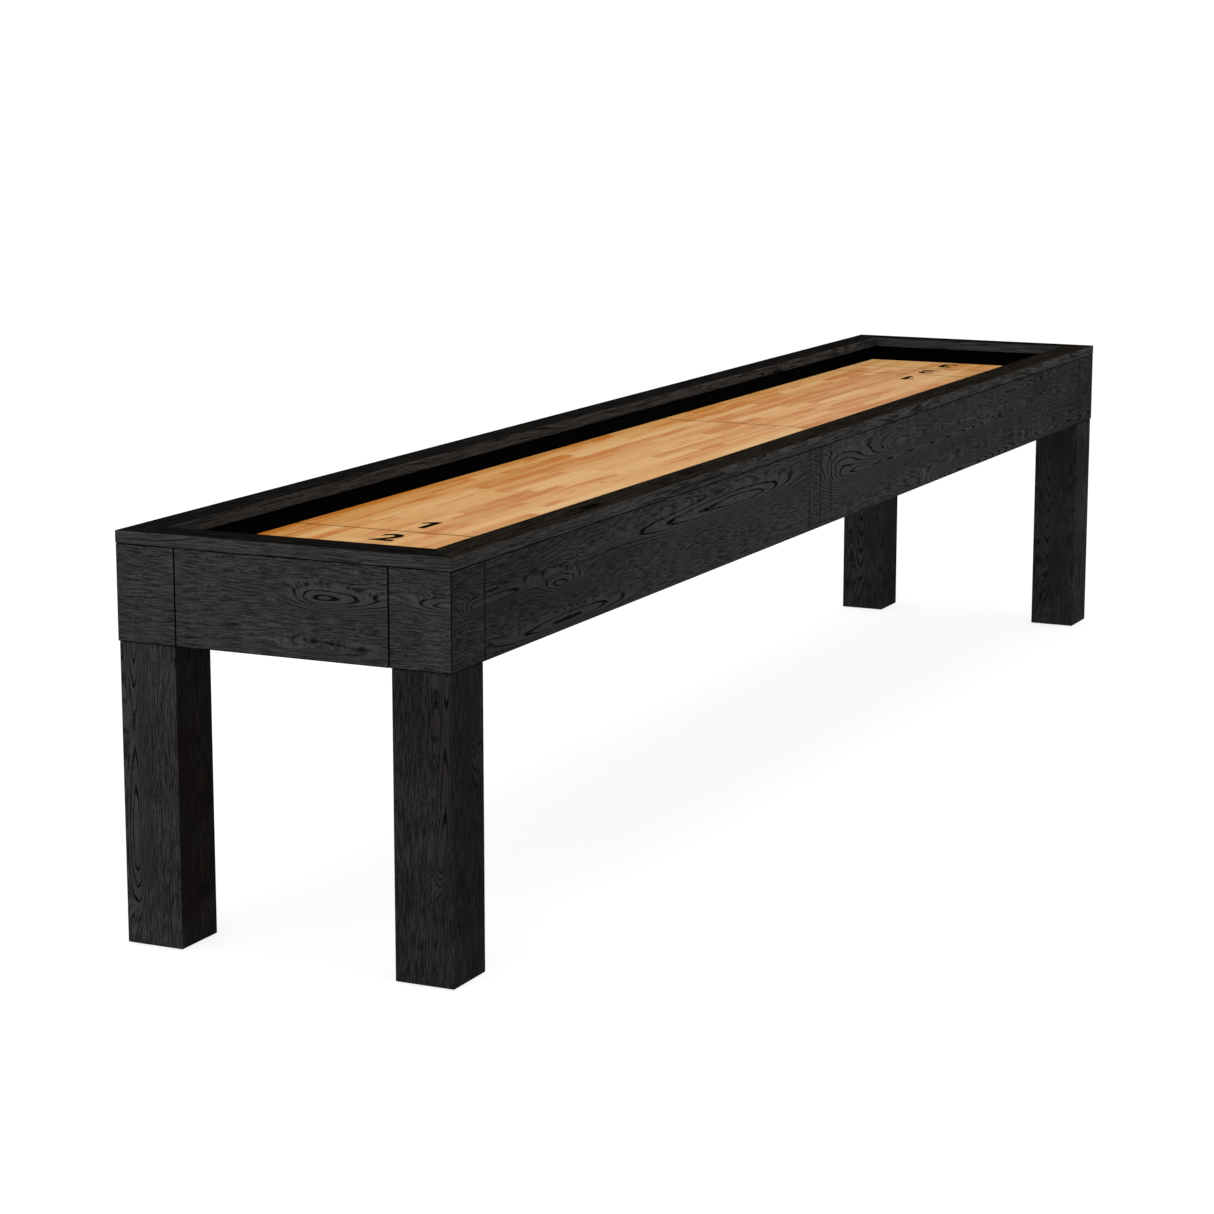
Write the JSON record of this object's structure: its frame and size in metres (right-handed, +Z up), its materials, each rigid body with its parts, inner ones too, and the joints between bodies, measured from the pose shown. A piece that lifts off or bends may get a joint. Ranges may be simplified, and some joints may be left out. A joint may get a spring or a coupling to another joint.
{
  "type": "shuffleboard table",
  "caption": "Long black oak shuffleboard table: maple playfield inset in a mitred rail, gutters all round, square legs with screw levellers, tension-screw adjusters under the board.",
  "frame": {"origin": "on the floor, under the middle of the table", "axes": "+X along the table towards the far end, +Y towards the left-hand long side, +Z up"},
  "size_m": [3.85, 0.7, 0.79],
  "materials": {
    "black_oak": "wire-brushed oak stained black, open grain, dull satin lacquer",
    "maple": "butcher-block strips under a clear, polished polymer coat",
    "felt": "black needle-felt glued to board, matt",
    "steel": "bright zinc plate",
    "nylon": "moulded black nylon"
  },
  "bodies": {
    "table": {"adjuster_bracket_far_left": "steel", "adjuster_bracket_far_right": "steel", "adjuster_bracket_near_left": "steel", "adjuster_bracket_near_right": "steel", "bulkhead_far": "black_oak", "bulkhead_near": "black_oak", "corner_post_far_left": "black_oak", "corner_post_far_right": "black_oak", "corner_post_near_left": "black_oak", "corner_post_near_right": "black_oak", "end_apron_far": "black_oak", "end_apron_near": "black_oak", "end_rail_far": "black_oak", "end_rail_near": "black_oak", "gutter_floor_far": "felt", "gutter_floor_near": "felt", "gutter_wall_far": "felt", "gutter_wall_left": "felt", "gutter_wall_near": "felt", "gutter_wall_right": "felt", "joining_bolt_left": "steel", "joining_bolt_right": "steel", "joint_block_far_left": "black_oak", "joint_block_far_right": "black_oak", "joint_block_near_left": "black_oak", "joint_block_near_right": "black_oak", "leg_bolt_far_left": "steel", "leg_bolt_far_right": "steel", "leg_bolt_near_left": "steel", "leg_bolt_near_right": "steel", "leg_far_left": "black_oak", "leg_far_right": "black_oak", "leg_near_left": "black_oak", "leg_near_right": "black_oak", "leveller_insert_far_left": "steel", "leveller_insert_far_right": "steel", "leveller_insert_near_left": "steel", "leveller_insert_near_right": "steel", "playfield": "maple", "playfield_cleat_far": "black_oak", "playfield_cleat_near": "black_oak", "side_apron_far_left": "black_oak", "side_apron_far_right": "black_oak", "side_apron_near_left": "black_oak", "side_apron_near_right": "black_oak", "side_rail_far_left": "black_oak", "side_rail_far_right": "black_oak", "side_rail_near_left": "black_oak", "side_rail_near_right": "black_oak"},
    "pad_near_left": {"leveller_pad_near_left": "nylon"},
    "stem_near_left": {"leveller_stem_near_left": "steel"},
    "pad_near_right": {"leveller_pad_near_right": "nylon"},
    "stem_near_right": {"leveller_stem_near_right": "steel"},
    "pad_far_left": {"leveller_pad_far_left": "nylon"},
    "stem_far_left": {"leveller_stem_far_left": "steel"},
    "pad_far_right": {"leveller_pad_far_right": "nylon"},
    "stem_far_right": {"leveller_stem_far_right": "steel"},
    "screw_near": {"adjuster_screw_near": "steel"},
    "screw_far": {"adjuster_screw_far": "steel"}
  },
  "joints": [
    {"name": "pad_travel_near_left", "type": "slide", "parent": "table", "child": "pad_near_left", "axis": [0, 0, -1], "range_m": [0, 0.02]},
    {"name": "stem_turn_near_left", "type": "hinge", "parent": "pad_near_left", "child": "stem_near_left", "pos_m": [-1.8625, 0.2875, 0.0083], "axis": [0, 0, -1], "range_deg": [0, 4800]},
    {"name": "pad_travel_near_right", "type": "slide", "parent": "table", "child": "pad_near_right", "axis": [0, 0, -1], "range_m": [0, 0.02]},
    {"name": "stem_turn_near_right", "type": "hinge", "parent": "pad_near_right", "child": "stem_near_right", "pos_m": [-1.8625, -0.2875, 0.0083], "axis": [0, 0, -1], "range_deg": [0, 4800]},
    {"name": "pad_travel_far_left", "type": "slide", "parent": "table", "child": "pad_far_left", "axis": [0, 0, -1], "range_m": [0, 0.02]},
    {"name": "stem_turn_far_left", "type": "hinge", "parent": "pad_far_left", "child": "stem_far_left", "pos_m": [1.8625, 0.2875, 0.0083], "axis": [0, 0, -1], "range_deg": [0, 4800]},
    {"name": "pad_travel_far_right", "type": "slide", "parent": "table", "child": "pad_far_right", "axis": [0, 0, -1], "range_m": [0, 0.02]},
    {"name": "stem_turn_far_right", "type": "hinge", "parent": "pad_far_right", "child": "stem_far_right", "pos_m": [1.8625, -0.2875, 0.0083], "axis": [0, 0, -1], "range_deg": [0, 4800]},
    {"name": "adjuster_turn_near", "type": "hinge", "parent": "table", "child": "screw_near", "pos_m": [-0.8855, 0, 0.663], "axis": [0, -1, 0], "range_deg": [-720, 720]},
    {"name": "adjuster_turn_far", "type": "hinge", "parent": "table", "child": "screw_far", "pos_m": [0.7175, 0, 0.663], "axis": [0, -1, 0], "range_deg": [-720, 720]}
  ],
  "couplings": [
    {"joint": "stem_turn_near_left", "follows": "pad_travel_near_left", "rad_per_m": 4188.8},
    {"joint": "stem_turn_near_right", "follows": "pad_travel_near_right", "rad_per_m": 4188.8},
    {"joint": "stem_turn_far_left", "follows": "pad_travel_far_left", "rad_per_m": 4188.8},
    {"joint": "stem_turn_far_right", "follows": "pad_travel_far_right", "rad_per_m": 4188.8}
  ]
}
